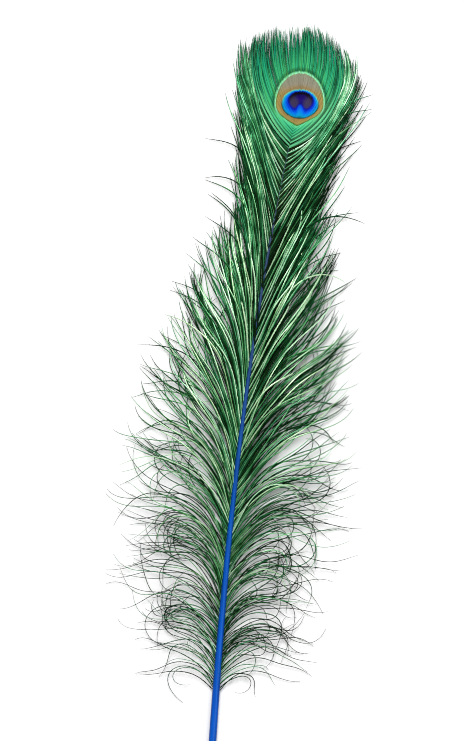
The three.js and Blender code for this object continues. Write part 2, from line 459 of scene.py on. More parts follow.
class Row:
    """Barbs of one side: the share of the shaft at each root, the clump of each, and their random numbers."""

    def __init__(self, side, share, clump, rng):
        self.side = side
        self.share = share
        self.clump = clump
        self.rng = rng
        self.count = len(share)

    def law(self, column):
        """One column of the law of growth, read at each root."""
        return read_law(GROWTH[self.side], self.share, column)

    def rise(self, start, end):
        """0 for the barbs rooted below one share of the shaft, 1 for those above another."""
        return smoothstep(start, end, self.share)

    def uniform(self, low, high):
        return self.rng.uniform(low, high, self.count)

    def chance(self, part):
        """Marks about that part of the barbs."""
        return self.rng.random(self.count) < part

    def normal(self):
        return self.rng.standard_normal(self.count)

    def spread(self, sizes):
        """Normal noise that is partly shared within a clump."""
        shared = sizes[0] * self.normal()[self.clump]
        return shared + sizes[1] * self.normal()

    def wave(self, size, turns, t):
        """A sine along each barb, with its own phase and its own number of turns."""
        own_turns = self.rng.uniform(*turns, (self.count, 1))
        phase = self.rng.uniform(0, 2 * np.pi, (self.count, 1))
        return size * np.sin(2 * np.pi * own_turns * t + phase)

    def paths(self, root_angle, tip_angle, length, root, tip_height, arch, sway):
        """Points along each barb, from its root to its tip. root is a place across the shaft and a height,
        and sway is an angle to add at each station."""
        stations = sway.shape[1]
        t = np.linspace(0, 1, stations)[None]
        lean = lerp(shaft_lean(self.share), HEAD_AXIS_TILT, self.rise(HEAD_AXIS_FROM, 1))[:, None]
        heading = root_angle[:, None] + (tip_angle - root_angle)[:, None] * t + sway
        middle = (heading[:, 1:] + heading[:, :-1]) / 2
        step = (length / (stations - 1))[:, None]
        start = np.zeros((self.count, 1))
        forward = np.hstack([start, np.cumsum(np.cos(middle) * step, 1)])
        outward = np.hstack([start, np.cumsum(np.sin(middle) * step, 1)]) + root[0][:, None]
        place = shaft_point(self.share)
        x = place[:, :1] + forward * np.sin(lean) + self.side * outward * np.cos(lean)
        y = place[:, 1:] + forward * np.cos(lean) - self.side * outward * np.sin(lean)
        z = lerp(root[1][:, None], tip_height[:, None], t ** TIP_DROOP) + arch[:, None] * np.sin(np.pi * t)
        return np.stack([x, y, np.maximum(z, TIP_HEIGHT)], 2)

    def gather(self, paths, strength, parting):
        """Pulls the barbs of each clump towards their middle line. parting is how far the tips part again."""
        t = np.linspace(0, 1, paths.shape[1])[None, :, None]
        clumps = self.clump.max() + 1
        total = np.zeros((clumps, *paths.shape[1:]))
        np.add.at(total, self.clump, paths)
        middle = (total / np.bincount(self.clump, minlength=clumps)[:, None, None])[self.clump]
        kept = 1 - parting[:, None, None] * smoothstep(PART_FROM, 1, t)
        pull = strength[:, None, None] * t ** GATHER_EASE * kept
        pull[..., 0, :] = 0
        drawn = lerp(paths, middle, pull)
        drawn[..., 2] = paths[..., 2]
        return drawn


def clumps_of(rng, count, low, high):
    """A clump's number for each barb, in runs of low to high neighbours."""
    sizes = rng.integers(low, high + 1, count)
    return np.repeat(np.arange(count), sizes)[:count]


# Stems and barbules


def barb_axes(paths, roll):
    """Unit vectors at each station of each barb: along it, across it, and out of its face."""
    along = np.gradient(paths, axis=1)
    along /= np.linalg.norm(along, axis=2, keepdims=True)
    flat = np.stack([along[..., 1], -along[..., 0], np.zeros(along.shape[:2])], 2)
    flat /= np.linalg.norm(flat, axis=2, keepdims=True)
    above = np.cross(flat, along)
    turn = roll[..., None]
    across = flat * np.cos(turn) + above * np.sin(turn)
    normal = above * np.cos(turn) - flat * np.sin(turn)
    return along, across, normal


def barbule_tips(hand, paths, axes, half_width, tilt, sweep, rng):
    """The tips of the barbules on one hand of each barb, from its second station on."""
    barbules = paths.shape[1] - BARBULE_FOOT
    rooted = slice(1, 1 + barbules)
    along, across, normal = (axis[:, rooted] for axis in axes)
    noise = (len(paths), barbules, 1)
    reach = half_width[:, rooted, None] * (1 + BARBULE_NOISE * rng.standard_normal(noise))
    lift = tilt[rooted, None] * (1 + DROOP_NOISE * rng.standard_normal(noise))
    way = hand * across * math.cos(sweep) + along * math.sin(sweep) + normal * lift
    return paths[:, rooted] + way * reach


def stem_points(paths, axes, stem, rings):
    """The three points of each ring of each stem: its left edge, its crest and its right edge."""
    _, across, normal = (axis[:, rings] for axis in axes)
    middle = paths[:, rings]
    thick = stem[:, rings, None]
    crest = middle + normal * thick * STEM_CREST
    edges = [middle + hand * across * thick - normal * thick * STEM_DEPTH for hand in (LEFT, RIGHT)]
    return np.stack([edges[0], crest, edges[1]], 2).reshape(len(paths), -1, 3)


def stem_faces(first, rings):
    """Two strips of triangles along a stem whose rings of three points begin at a point's number."""
    ring = np.arange(rings - 1)
    faces = []
    for column in (0, 1):
        a = first + 3 * ring + column
        b, c, d = a + 1, a + 4, a + 3
        faces += [np.stack([a, b, c], 1), np.stack([a, c, d], 1)]
    return np.concatenate(faces)


def dress(side, paths, half_width, stem, roll, tilt, sweep, rng):
    """Each barb's stem with a row of barbules on both sides, as a shape. Its fields say how far along the
    barb a point is, whether it is on the stem, and whether it is on the row that faces the feather's tip."""
    count, stations, _ = paths.shape
    barbules = stations - BARBULE_FOOT
    axes = barb_axes(paths, roll)
    rings = np.arange(0, stations, STEM_EVERY)
    if rings[-1] != stations - 1:
        rings = np.append(rings, stations - 1)
    tips = [barbule_tips(hand, paths, axes, half_width, tilt, sweep, rng) for hand in (LEFT, RIGHT)]
    points = np.concatenate([paths, *tips, stem_points(paths, axes, stem, rings)], 1)
    points[..., 2] = np.maximum(points[..., 2], BARB_CLEARANCE)
    per_barb = points.shape[1]

    left_tip, right_tip = stations, stations + barbules
    first_ring = stations + 2 * barbules
    foot = np.arange(barbules)
    left = np.stack([foot, foot + BARBULE_FOOT, left_tip + foot], 1)
    right = np.stack([foot, right_tip + foot, foot + BARBULE_FOOT], 1)
    on_stem = stem_faces(first_ring, len(rings))
    faces = np.concatenate([left, right, on_stem])
    index = np.arange(count)[:, None, None]
    triangles = (index * per_barb + faces).reshape(-1, 3)

    # The chart holds one strip for each barb: left barbules, stem, right barbules.
    t = np.linspace(0, 1, stations)
    at_tip = t[1:1 + barbules]
    along = np.concatenate([t, at_tip, at_tip, np.repeat(t[rings], 3)])
    bands = [np.broadcast_to(band, (barbules, 3)) for band in (LEFT_BAND, RIGHT_BAND)]
    bands = np.concatenate([*bands, np.array(STEM_BAND)[(on_stem - first_ring) % 3]])
    chart = np.empty((count, *faces.shape, 2))
    chart[..., 0] = CHART_MARGIN + (1 - 2 * CHART_MARGIN) * along[faces]
    chart[..., 1] = (index + bands) / count

    is_stem = np.zeros(per_barb)
    is_stem[first_ring:] = 1
    far = np.full(per_barb, 0.5)
    far[left_tip:right_tip] = 0 if side == LEFT else 1
    far[right_tip:first_ring] = 1 if side == LEFT else 0
    fields = {"along": along, "stem": is_stem, "far": far}
    fields = {key: np.tile(values, count) for key, values in fields.items()}
    return Shape(points.reshape(-1, 3), triangles, chart.reshape(-1, 2), fields)


# The loose barbs


class LooseRow(Row):
    """The loose barbs of one side, from the lowest up.

    calm is 0 for the lowest barbs and 1 next to the head. wild is how far a barb departs from the law
    of growth. wisp is 1 for the lowest barbs, which are thin and curled. lead marks the bright barbs, painted
    pale as highlights over the others' painted shade.
    """

    def __init__(self, side):
        rng = np.random.default_rng(LOOSE_SEED + side)
        count = LOOSE_PER_SIDE
        u = (np.arange(count) + 0.5 + rng.uniform(-ROOT_JITTER, ROOT_JITTER, count)) / count
        share = LOWEST_BARB + (EYE_FOOT - LOWEST_BARB) * u ** ROOT_CROWDING
        super().__init__(side, share, clumps_of(rng, count, *LOOSE_CLUMP), rng)
        self.calm = self.rise(*CALM_ZONE)
        self.wild = lerp(1, CALMEST, self.calm)
        self.wisp = 1 - self.rise(*WISP_ZONE)
        self.lead = self.leaders()

    def leaders(self):
        """Marks the bright barbs, which are evenly spread among the others."""
        # Barbs that stand close to the shaft lie close together, so fewer of them lead.
        crowding = np.clip(CROWDED / np.sin(np.radians(self.law(ROOT_ANGLE))), 1, MOST_CROWDING)
        spacing = lerp(*LEAD_SPACING, self.rise(*SPACING_ZONE)) - LEAD_CLOSER * self.rise(*HEAD_ZONE)
        reached = np.cumsum(self.uniform(*LEAD_JITTER) / (spacing * crowding))
        return np.diff(np.floor(reached), prepend=0) > 0

    def course(self):
        """Angles at the root and at the tip, length, and how far a stray barb turns aside."""
        root_noise = (self.wild + WISP_ROOTS * self.wisp) * self.spread(WILD_ROOT_SPREAD)
        root_angle = np.radians(self.law(ROOT_ANGLE) + root_noise + self.spread(ROOT_SPREAD))
        tip_noise = self.wild * self.spread(WILD_TIP_SPREAD)
        tip_angle = np.radians(self.law(TIP_ANGLE) + tip_noise + self.spread(TIP_SPREAD))
        length = self.law(LENGTH) * (1 - np.abs(self.spread(LENGTH_SPREAD)))
        short = self.chance(SHORT_PART)
        length = np.where(short, length * self.uniform(*SHORT_LENGTH), length)
        length *= 1 + self.wisp * self.uniform(*WISP_LENGTH)
        strays = self.chance(STRAY_PART + WILD_STRAY_PART * self.wild)
        turned = self.uniform(-STRAY_TURN, STRAY_TURN) * lerp(1, CALM_STRAY, self.calm)
        stray = np.where(strays, turned, 0)
        root_angle += np.radians(stray * STRAY_AT_ROOT)
        tip_angle += np.radians(stray)
        return root_angle, tip_angle, length, stray

    def sway(self, t):
        """Angles to add along each barb: a droop, a hook at some tips, and two waves."""
        droop = np.radians(self.wild * self.uniform(0, DROOP))[:, None]
        droop = droop * np.sin(2 * np.pi * (t - DROOP_START)) * t
        hooked = self.chance(WILD_HOOKS * self.wild + WISP_HOOKS * self.wisp)
        curl = self.uniform(-1, 1) * (HOOK_TURN + WISP_HOOK_TURN * self.wisp)
        hook = np.radians(np.where(hooked, curl, 0))[:, None] * smoothstep(HOOK_FROM, 1, t)
        bent = droop + hook
        for (size, wild_size, wisp_size), turns in ((SLOW_WAVE, SLOW_TURNS), (QUICK_WAVE, QUICK_TURNS)):
            degrees = size + wild_size * self.wild + wisp_size * self.wisp
            bent = bent + self.wave(np.radians(degrees)[:, None], turns, t) * t
        return bent

    def roots(self, stray):
        """Where each barb begins: its place across the shaft, and its height."""
        radius = shaft_radius(self.share)
        # Some barbs of the neck begin on the shaft's far side and hide a stretch of it.
        over = self.chance(OVER_PART) & (self.share > NECK_FROM) & ~self.lead & (stray == 0)
        # Near the head all of them meet on top of it.
        on_top = self.rise(*ON_TOP_ZONE)
        offset = radius * np.where(over, -self.uniform(*OVER_REACH), lerp(*ROOT_REACH, on_top))
        climb = np.where(over, OVER_CLIMB, lerp(np.where(self.lead, LEAD_CLIMB, DEEP_CLIMB), 1, on_top))
        return offset, axis_height(self.share) + radius * climb

    def lie(self):
        """Points along each barb, and how far a stray one turns aside."""
        root_angle, tip_angle, length, stray = self.course()
        sway = self.sway(np.linspace(0, 1, LOOSE_STATIONS)[None])
        root = self.roots(stray)
        arch = self.law(ARCH) * np.where(self.lead, LEAD_ARCH, DEEP_ARCH) * self.uniform(*ARCH_RANGE)
        tip_height = TIP_HEIGHT + self.uniform(0, LOOSE_TIP_RISE)
        paths = self.paths(root_angle, tip_angle, length, root, tip_height, arch, sway)
        # A barb that would reach too far to the side is shorter.
        reach = (self.side * (paths[..., 0] + OFFSET[0])).max(1)
        length *= np.clip(1 - (reach - REACH_LIMIT) / length * CUT_BACK, LEAST_CUT, 1)
        paths = self.paths(root_angle, tip_angle, length, root, tip_height, arch, sway)
        strength = self.uniform(*GATHER)[self.clump] * lerp(1, NECK_GATHER, self.rise(*GATHER_ZONE))
        return self.gather(paths, strength, lerp(*PARTING, self.wisp)), stray

    def breadth(self, t):
        """Half the width of each barb at its stations, with its barbules."""
        lead = lerp(*LEAD_BREADTH, self.rise(*SLIM_ZONE)) + HEAD_LEAD_BREADTH * self.rise(*HEAD_ZONE)
        widest = lerp(*BREADTH, self.calm) * (1 - WISP_SLIMMER * self.wisp) * np.where(self.lead, lead, 1)
        widest = widest * self.uniform(*BREADTH_RANGE)
        taper = 1 - lerp(*TAPER, self.wisp[:, None]) * t ** 2
        point = 1 - POINTED * t ** 10
        return widest[:, None] * smoothstep(*LOOSE_START, t) * taper * point

    def roll(self, t):
        """How far each barb is rolled about itself. The wild ones twist along their length."""
        twist = np.sin(np.pi * self.rng.uniform(*TWIST_TURNS, (self.count, 1)) * t)
        lean = self.rng.uniform(-ROLL, ROLL, (self.count, 1))
        return np.radians(lean + TWIST * twist * self.wild[:, None])

    def tones(self, stray):
        """How pale each barb is, its hue, and how much it darkens towards its outer half. The paleness is a
        painted highlight on the bright barbs and painted shade on the others.
        """
        # The barbs under the bright ones are painted dark, as shade
        under_shade_tone = lerp(*DEEP_SHADE_TONE, self.calm)
        # Painted shade: the neck's barbs are darker on the right and paler on the left, as the light falls
        # from the left
        under_shade_tone -= NECK_SIDE_SHADE[self.side] * self.rise(*NECK_ZONE)
        # Next to the head each bright barb has a green one on both sides of it.
        beside = np.roll(self.lead, 1) | np.roll(self.lead, -1)
        # The left side's stronger glow is painted light, and the right side's weaker glow is painted shade
        under_shade_tone += np.where(beside, BESIDE_GLOW[self.side], NEAR_GLOW) * self.rise(*BESIDE_ZONE)
        # In the crowded neck a bright barb's painted highlight darkens towards its outer half. Along the head
        # the others pale.
        glow = -FLANK_GLOW * self.rise(*FLANK_ZONE)
        fade = np.where(self.lead, self.uniform(*LEAD_FADE), glow) * self.rise(*FADE_ZONE)
        fade -= np.where(self.lead, FLANK_LEAD_GLOW, 0) * self.rise(*HEAD_ZONE)
        tone = np.where(self.lead, lerp(*LEAD_HIGHLIGHT_TONE, self.calm), under_shade_tone) + self.spread(TONE_SPREAD)
        tone = np.where((stray != 0) & (self.share > NECK_FROM), STRAY_TONE, tone)
        even = EVEN_FLANK[self.side] * self.rise(*EVEN_ZONE)
        fade = lerp(fade, tone + OUTER_PALE - FLANK_TONE, even)
        hue = lerp(*HUE, self.calm) + self.spread(HUE_SPREAD)
        hue = hue + np.where(self.lead, LEAD_HUE, DEEP_HUE) * self.rise(*HUE_ZONE)
        hue -= np.where(self.lead, HEAD_LEAD_HUE, 0) * self.rise(*HEAD_HUE_ZONE)
        return tone, hue, fade


def loose_barbs(side, names, node, material):
    """The loose barbs on one side, as several pieces from the lowest up."""
    row = LooseRow(side)
    paths, stray = row.lie()
    t = np.linspace(0, 1, LOOSE_STATIONS)[None]
    half_width = row.breadth(t)
    stem = lerp(*LOOSE_STEM, t) * np.ones((row.count, 1))
    roll = row.roll(t)
    tilt = np.full(LOOSE_STATIONS, LOOSE_TILT)
    tone, hue, fade = row.tones(stray)
    for name, part in zip(names, np.array_split(np.arange(row.count), len(names))):
        shape = dress(side, paths[part], half_width[part], stem[part], roll[part], tilt, LOOSE_SWEEP, row.rng)
        along = shape.fields["along"]
        paler = OUTER_PALE * smoothstep(*OUTER_HALF, along) - TIP_DARK * smoothstep(TIP_FROM, 1, along)
        paler = lerp(paler, -WISP_DARK * smoothstep(*WISP_OUTER, along), per_point(shape, row.wisp[part]))
        darker = per_point(shape, fade[part]) * smoothstep(*FADE_ALONG, along)
        shape.fields["tone"] = np.clip(per_point(shape, tone[part]) + paler - darker, 0, 1)
        shape.fields["hue"] = per_point(shape, np.clip(hue[part], 0, 1))
        make_piece(name, shape, material, node)


# The head and its marking


def eye_rings(x, y):
    """A value that grows outwards through the marking: 0 to 1 in the pupil, 1 to 2 in the blue,
    2 to 3 in the bronze, and over 3 outside it."""
    pupil = np.hypot((x - PUPIL[0]) / PUPIL[2], (y - PUPIL[1]) / PUPIL[3])
    notch = np.exp(-((x - NOTCH_MIDDLE) / NOTCH_WIDTH) ** 2) * smoothstep(NOTCH_FROM, NOTCH_TO, y)
    pupil = pupil + NOTCH_STRENGTH * notch
    blue = np.hypot((x - BLUE_RING[0]) / BLUE_RING[2], (y - BLUE_RING[1]) / BLUE_RING[3])
    # The bronze is a dome that ends in a blunt point below.
    dome = np.hypot((x - DOME_MIDDLE) / DOME_WIDTH, np.where(y > 0, y / DOME_TOP, y / DOME_BOTTOM))
    point = (POINT_ACROSS * np.abs(x - POINT_MIDDLE) - POINT_DOWN * y) / POINT_REACH
    bronze = (dome ** POINT_SHARPNESS + np.maximum(point, 0) ** POINT_SHARPNESS) ** (1 / POINT_SHARPNESS)
    in_blue = np.clip((pupil - 1) / np.maximum((pupil - 1) + (1 - blue) * RING_EASE, 1e-6), 0, 1)
    in_bronze = np.clip((blue - 1) / np.maximum((blue - 1) + (1 - bronze) * RING_EASE, 1e-6), 0, 1)
    beyond = 3 + np.maximum(bronze - 1, 0) * 2
    rings = np.where(bronze < 1, 2 + in_bronze, beyond)
    rings = np.where(blue < 1, 1 + in_blue, rings)
    return np.where((pupil < 1) & (blue < 1), pupil, rings)


def lobe(x, y, oval):
    """1 within an oval of the pupil and 0 outside it, with a soft edge."""
    middle_x, middle_y, half_width, half_height = oval
    return np.exp(-(((x - middle_x) / half_width) ** 2 + ((y - middle_y) / half_height) ** 2) ** 2)


def head_paths(row, t):
    """Points along each barb of the head, which lie closed at first and fan out towards their tips."""
    root_angle = np.radians(row.law(ROOT_ANGLE) + row.spread(HEAD_ROOT_SPREAD))
    tip_angle = np.radians(row.law(TIP_ANGLE) + row.spread(HEAD_TIP_SPREAD))
    length = row.law(LENGTH) * (1 - np.abs(row.spread(HEAD_LENGTH_SPREAD)))
    loosen = smoothstep(FAN_FROM, 1, t)
    sway = row.wave(HEAD_WAVE, HEAD_WAVE_TURNS, t) * loosen
    sway = sway + np.radians(row.spread(HEAD_FAN_SPREAD))[:, None] * loosen
    root = (np.zeros(row.count), underside(row.share) + HEAD_ROOT_HEIGHT * shaft_radius(row.share))
    arch = row.law(ARCH) + HEAD_ARCH + HEAD_ARCH_SPREAD * row.normal()
    tip_height = HEAD_TIP_HEIGHT + row.uniform(0, HEAD_TIP_RISE)
    paths = row.paths(root_angle, tip_angle, length, root, tip_height, arch, sway)
    return row.gather(paths, row.uniform(*HEAD_GATHER)[row.clump], np.full(row.count, HEAD_PARTING))


def mark_eye(row, shape):
    """Adds the fields that place the marking on the barbs of the head."""
    shift = per_point(shape, MARK_SHIFT * row.normal())
    c, s = math.cos(HEAD_AXIS_TILT), math.sin(HEAD_AXIS_TILT)
    x = shape.points[:, 0] * c - shape.points[:, 1] * s
    y = shape.points[:, 0] * s + shape.points[:, 1] * c + shift + MARK_DROP
    shape.fields["rings"] = eye_rings(x, y) / RINGS_IN_RAMP
    shape.fields["upper"] = smoothstep(*UPPER, y)
    shape.fields["crown"] = smoothstep(*CROWN, y)
    shape.fields["ringed"] = smoothstep(*RINGED, y)
    shape.fields["lobe"] = np.maximum(*(lobe(x, y, oval) for oval in LOBES))


def head_barbs(side, name, material):
    """The barbs on one side of the closed head, as one piece."""
    rng = np.random.default_rng(HEAD_SEED + side)
    count = HEAD_PER_SIDE
    position = (np.arange(count) + 0.5) / count
    row = Row(side, lerp(1, EYE_FOOT, position), clumps_of(rng, count, *HEAD_CLUMP), rng)
    t = np.linspace(0, 1, HEAD_STATIONS)[None]
    paths = head_paths(row, t)
    half_width = row.uniform(*HEAD_BREADTH)[:, None] * smoothstep(*HEAD_START, t)
    half_width = half_width * (1 - HEAD_TAPER * t ** 2) * (1 - HEAD_POINTED * t ** 8)
    stem = lerp(*HEAD_STEM, t) * np.ones((count, 1))
    roll = np.radians(rng.uniform(-HEAD_ROLL, HEAD_ROLL, (count, 1))) * smoothstep(*HEAD_ROLL_ALONG, t)
    tilt = lerp(*HEAD_TILT, smoothstep(*HEAD_TILT_ALONG, t[0]))
    shape = dress(side, paths, half_width, stem, roll, tilt, HEAD_SWEEP, rng)
    mark_eye(row, shape)
    # Towards the foot of the head the barbs part into pale strands, with barbs painted dark as shade in the
    # gaps between them.
    foot = smoothstep(*FOOT_ZONE, position)
    spacing = lerp(*STRIPES, foot) * row.uniform(*STRIPE_JITTER)
    stripe = np.tanh(2 * np.sin(np.cumsum(2 * np.pi / spacing))) * lerp(*STRIPE_SHADE, foot)
    tone = STRIPE_TONE + stripe + HEAD_TONE_SPREAD * row.normal()
    shape.fields["tone"] = per_point(shape, np.clip(tone, 0, 1))
    inner = 1 - FOOT_FADE * smoothstep(*OUTER_HALF, shape.fields["along"])
    shape.fields["foot"] = per_point(shape, foot) * inner
    shape.fields["gold"] = per_point(shape, rng.random(count) ** 2)
    make_piece(name, shape, material, "eye")


# The quill


def quill_points(share, across, up):
    """Rings of points around the shaft, then the points that close its two ends."""
    # A rounded square section, with a shallow groove along the underside
    square = 1 / (np.abs(across) ** SQUARENESS + np.abs(up) ** SQUARENESS) ** (1 / SQUARENESS)
    groove = GROOVE_DEPTH * np.exp(-((across / GROOVE_WIDTH) ** 2)) * (up < 0)
    radius = shaft_radius(share)
    lean = shaft_lean(share)
    middle = shaft_point(share)
    swell = 1 + SWELL * np.sin(share * SWELL_RATE) * smoothstep(0.4, 0.1, share)
    width = (radius * swell)[:, None] * (across * square)[None] * QUILL_WIDTH
    rise = radius[:, None] * (up * (square * QUILL_HEIGHT - groove))[None] * FLAT_SIDE
    height = axis_height(share)[:, None] + rise
    x = middle[:, :1] + width * np.cos(lean)[:, None]
    y = middle[:, 1:] - width * np.sin(lean)[:, None]
    points = np.stack([x, y, np.maximum(height, QUILL_CLEARANCE)], 2).reshape(-1, 3)
    ends = np.array([[*shaft_point(s), axis_height(s)] for s in (QUILL_END, 1)])
    return np.concatenate([points, ends])


def quill_faces():
    """Triangles of the quill's side, then of its two ends."""
    ring, place = np.meshgrid(np.arange(QUILL_RINGS - 1), np.arange(RING_POINTS), indexing="ij")
    a = (ring * RING_POINTS + place).ravel()
    b = (ring * RING_POINTS + (place + 1) % RING_POINTS).ravel()
    c, d = b + RING_POINTS, a + RING_POINTS
    side = [np.stack([a, b, c], 1), np.stack([a, c, d], 1)]
    first = np.arange(RING_POINTS)
    after = (first + 1) % RING_POINTS
    last_ring = (QUILL_RINGS - 1) * RING_POINTS
    low_end = np.full(RING_POINTS, QUILL_RINGS * RING_POINTS)
    low_cap = np.stack([low_end, after, first], 1)
    high_cap = np.stack([low_end + 1, last_ring + first, last_ring + after], 1)
    return np.concatenate([*side, low_cap, high_cap])


def corner_chart(*corners):
    """Chart places for the three corners of each triangle, each from an array of u and one of v."""
    return np.stack([np.stack(corner, 1) for corner in corners], 1)


def quill_chart():
    """The quill's side unrolled, with its two ends in a narrow strip past it."""
    place = np.arange(RING_POINTS)
    v_left = np.tile(place / RING_POINTS, QUILL_RINGS - 1)
    u_low = np.repeat(np.arange(QUILL_RINGS - 1) / QUILL_RINGS, RING_POINTS)
    v_right = v_left + 1 / RING_POINTS
    u_high = u_low + 1 / QUILL_RINGS
    side_a = corner_chart((u_low, v_left), (u_low, v_right), (u_high, v_right))
    side_b = corner_chart((u_low, v_left), (u_high, v_right), (u_high, v_left))
    hub = np.full(RING_POINTS, 0.999)
    rim = np.full(RING_POINTS, 0.998)
    here, beyond = place / RING_POINTS, (place + 1) / RING_POINTS
    cap = corner_chart((hub, here), (rim, beyond), (rim, here))
    return np.concatenate([side_a, side_b, cap, cap]).reshape(-1, 2)


def quill(material):
    """The quill and the rachis, one tapering rod."""
    share = np.linspace(0, 1, QUILL_RINGS) ** RING_CROWDING
    angle = np.arange(RING_POINTS) / RING_POINTS * 2 * np.pi
    across, up = np.cos(angle), np.sin(angle)
    along = np.append(np.repeat(share, RING_POINTS), [0, 1])
    # flank grows towards the rod's sides, where the material paints shade
    flank = np.append(np.tile(np.abs(across) ** 2, QUILL_RINGS), [0, 0])
    fields = {"along": along, "flank": flank}
    shape = Shape(quill_points(share, across, up), quill_faces(), quill_chart(), fields)
    make_piece("quill", shape, material, "shaft")


# Materials


def linear(*channels):
    """A colour as shown, in 0 to 255, as the light values that a shader takes."""
    return (*(((c / 255 + 0.055) / 1.055) ** 2.4 if c > 10 else c / 255 / 12.92 for c in channels), 1)


def grey(level):
    return (level, level, level, 1)


class Surface:
    """A material with one principled shader, and short calls for its nodes."""

    def __init__(self, name, **sockets):
        self.material = bpy.data.materials.new(name)
        self.material.use_nodes = True
        self.tree = self.material.node_tree
        self.shader = self.tree.nodes["Principled BSDF"]
        for socket, value in sockets.items():
            self.shader.inputs[socket.replace("_", " ")].default_value = value

    def node(self, kind, inputs=(), **settings):
        """A node whose inputs are values or other nodes' outputs."""
        made = self.tree.nodes.new("ShaderNode" + kind)
        for key, value in settings.items():
            setattr(made, key, value)
        for key, value in dict(inputs).items():
            if isinstance(value, bpy.types.NodeSocket):
                self.tree.links.new(value, made.inputs[key])
            else:
                made.inputs[key].default_value = value
        return made

    def field(self, name):
        """One of the mesh's named values."""
        return self.node("Attribute", attribute_name=name).outputs["Fac"]

    def ramp(self, value, stops):
        """A colour ramp through stops of (place, colour)."""
        made = self.node("ValToRGB", {"Fac": value})
        elements = made.color_ramp.elements
        while len(elements) < len(stops):
            elements.new(1)
        for element, (place, colour) in zip(elements, stops):
            element.position = place
            element.color = colour
        return made.outputs["Color"]

    def math(self, operation, a, b=0.0):
        return self.node("Math", {0: a, 1: b}, operation=operation).outputs[0]

    def mix(self, factor, a, b, blend="MIX"):
        made = self.node("Mix", {0: factor, 6: a, 7: b}, data_type="RGBA", blend_type=blend)
        return made.outputs[2]

    def noise(self, scale, detail=3.0, stretch=(1, 1, 1)):
        place = self.node("TexCoord").outputs["Object"]
        stretched = self.node("Mapping", {"Vector": place, "Scale": stretch}).outputs["Vector"]
        made = self.node("TexNoise", {"Vector": stretched, "Scale": scale, "Detail": detail})
        return made.outputs["Fac"]

    def around_half(self, value, size):
        """A value's distance from a half, times a size."""
        return self.math("MULTIPLY", self.math("SUBTRACT", value, 0.5), size)

    def set(self, socket, value):
        self.tree.links.new(value, self.shader.inputs[socket])


def barb_green():
    """Loose barbs: from near black to pale green by tone, which holds painted highlight and shade, tinted by
    hue, with a dull stem.
    """
    s = Surface("barb_green", Metallic=0.3, Specular_IOR_Level=0.05, Specular_Tint=(0.6, 1, 0.75, 1))
    patchy = s.noise(95, 4)
    # Painted light and shade: the row of barbules that faces the feather's tip is lighter, the other row
    # darker
    lit = s.around_half(s.field("far"), 0.24)
    level = s.math("ADD", s.math("MULTIPLY", s.field("tone"), 0.7), s.math("MULTIPLY", patchy, 0.3))
    level = s.math("ADD", level, lit)
    green = s.ramp(level, [
        (0.16, linear(0, 9, 3)),
        (0.36, linear(2, 33, 14)),
        (0.52, linear(24, 92, 54)),
        (0.66, linear(100, 176, 122)),
        (0.8, linear(218, 249, 212)),
    ])
    hue = s.ramp(s.field("hue"), [
        (0.0, linear(0, 170, 180)),
        (0.42, linear(60, 160, 118)),
        (0.64, linear(110, 160, 80)),
        (1.0, linear(180, 160, 60)),
    ])
    tinted = s.mix(0.4, green, hue, "SOFT_LIGHT")
    stem = s.mix(s.math("MULTIPLY", s.field("stem"), 0.5), tinted, linear(40, 52, 26))
    s.set("Base Color", stem)
    s.set("Roughness", s.ramp(level, [(0.36, grey(0.75)), (0.64, grey(0.33))]))
    return s.material


def inner_eye(s, rings):
    """The colours inside the pale ring: pupil, blue and bronze."""
    pupil = [
        (0.0, linear(32, 8, 110)),
        (0.07, linear(22, 2, 84)),
        (0.092, linear(3, 0, 16)),
        (0.116, linear(2, 0, 14)),
    ]
    rim = [
        (0.132, linear(2, 22, 136)),
        (0.152, linear(0, 70, 196)),
        (0.18, linear(0, 114, 220)),
        (0.206, linear(0, 142, 212)),
        (0.222, linear(28, 168, 186)),
        (0.24, linear(90, 190, 170)),
        (0.26, linear(140, 134, 92)),
    ]
    notch = [(0.0, linear(26, 10, 112)), (0.1, linear(8, 12, 130)), (0.122, linear(4, 22, 156))]
    blue = [
        (0.14, linear(2, 44, 190)),
        (0.165, linear(0, 82, 212)),
        (0.19, linear(0, 112, 216)),
        (0.222, linear(0, 138, 198)),
        (0.236, linear(4, 132, 164)),
        (0.248, linear(6, 62, 66)),
        (0.26, linear(84, 72, 34)),
    ]
    silver = [(0.275, linear(140, 118, 80)), (0.31, linear(140, 132, 114)), (0.366, linear(132, 132, 112))]
    gold = [(0.275, linear(148, 122, 68)), (0.35, linear(154, 136, 78)), (0.366, linear(108, 120, 52))]
    middle = s.mix(s.field("upper"), s.ramp(rings, notch + blue), s.ramp(rings, pupil + rim))
    bronze = s.mix(s.field("crown"), s.ramp(rings, gold), s.ramp(rings, silver))
    in_pupil = s.ramp(rings, [(0.1, grey(0.85)), (0.122, grey(0))])
    middle = s.mix(s.math("MULTIPLY", s.field("lobe"), in_pupil), middle, linear(64, 55, 74))
    return s.mix(s.ramp(rings, [(0.255, grey(0)), (0.268, grey(1))]), middle, bronze)


def outer_eye(s, rings):
    """The pale ring and the green outside it, with golden barbs in it."""
    far_green = [(0.62, linear(18, 146, 108)), (1.0, linear(2, 88, 66))]
    ring = [
        (0.374, linear(120, 134, 84)),
        (0.38, linear(152, 222, 180)),
        (0.388, linear(118, 206, 156)),
        (0.399, linear(16, 84, 56)),
        (0.414, linear(24, 108, 74)),
        (0.436, linear(46, 164, 112)),
    ]
    no_ring = [
        (0.374, linear(40, 86, 36)),
        (0.379, linear(26, 96, 52)),
        (0.389, linear(100, 202, 144)),
        (0.425, linear(62, 186, 136)),
    ]
    green = s.mix(s.field("ringed"), s.ramp(rings, no_ring + far_green), s.ramp(rings, ring + far_green))
    golden = s.math("MULTIPLY", s.field("gold"), 0.45)
    return s.mix(golden, green, linear(88, 176, 78))


